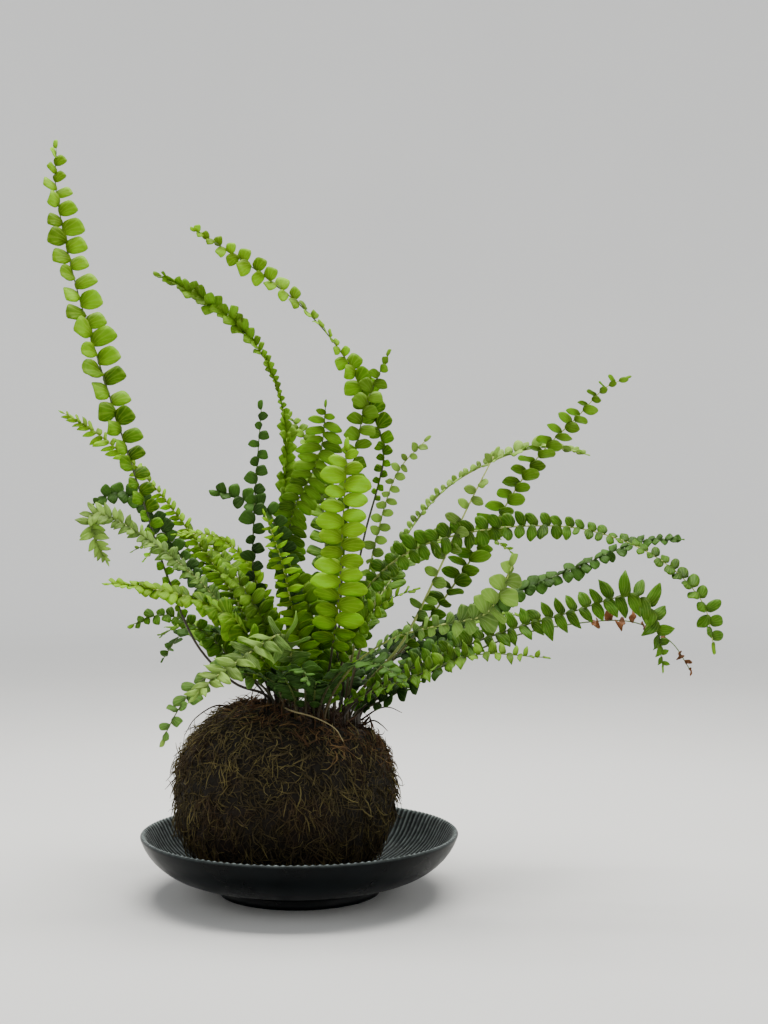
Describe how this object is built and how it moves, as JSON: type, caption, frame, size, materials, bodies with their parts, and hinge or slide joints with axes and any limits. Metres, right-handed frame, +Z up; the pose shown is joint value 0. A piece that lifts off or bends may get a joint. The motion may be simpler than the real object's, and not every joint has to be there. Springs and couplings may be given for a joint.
{
  "type": "kokedama moss ball plant",
  "caption": "Moss-wrapped ball of soil planted with a button fern of arching fronds with small round leaflets, standing in a shallow ribbed glazed dish.",
  "frame": {"origin": "centre of the flat underside of the dish's foot", "axes": "+Z up; -Y towards the viewer of the picture; +X to the right, where the long fronds arch"},
  "size_m": [0.3284, 0.2477, 0.3733],
  "materials": {
    "glaze": "gloss",
    "soil": "matte",
    "moss": "matte",
    "frond_bright": "satin",
    "frond_mid": "satin",
    "frond_deep": "satin",
    "frond_pale": "satin",
    "frond_dry": "matte"
  },
  "bodies": {
    "root": {"dish": "glaze", "soil_ball": "soil", "moss_wrap": "moss", "frond_tall_left": "frond_bright", "frond_arch_left": "frond_mid", "frond_arch_mid": "frond_bright", "frond_sprig_mid": "frond_mid", "frond_slim_left": "frond_deep", "frond_bright_front": "frond_bright", "frond_upright_mid": "frond_mid", "frond_slim_right": "frond_pale", "frond_pale_arch_right": "frond_pale", "frond_bare_right": "frond_pale", "frond_upper_right": "frond_mid", "frond_big_arch_right": "frond_mid", "frond_dark_right": "frond_deep", "frond_feather_right": "frond_mid", "frond_dry_tip": "frond_dry", "frond_short_right": "frond_mid", "frond_low_right": "frond_deep", "frond_low_mid_right": "frond_deep", "frond_toward_right": "frond_pale", "frond_pale_front_left": "frond_pale", "frond_low_left": "frond_pale", "frond_bright_left": "frond_bright", "frond_pale_left": "frond_pale", "frond_straight_left": "frond_bright", "frond_yellow_left": "frond_bright", "frond_dark_left": "frond_deep", "frond_low_dark_left": "frond_mid", "frond_curl_left": "frond_mid", "frond_dark_mid": "frond_deep", "frond_yellow_mid": "frond_bright", "frond_middle_left": "frond_mid", "frond_middle": "frond_mid", "frond_middle_right": "frond_mid", "frond_front_right": "frond_deep", "frond_front_mid": "frond_deep", "frond_back_tall": "frond_mid", "frond_back_left": "frond_bright", "frond_back_right": "frond_mid", "frond_back_mid": "frond_bright", "frond_back_low_left": "frond_deep", "frond_back_low_right": "frond_deep", "frond_back_low": "frond_mid", "frond_side_left": "frond_mid", "frond_side_right": "frond_mid"}
  },
  "joints": []
}
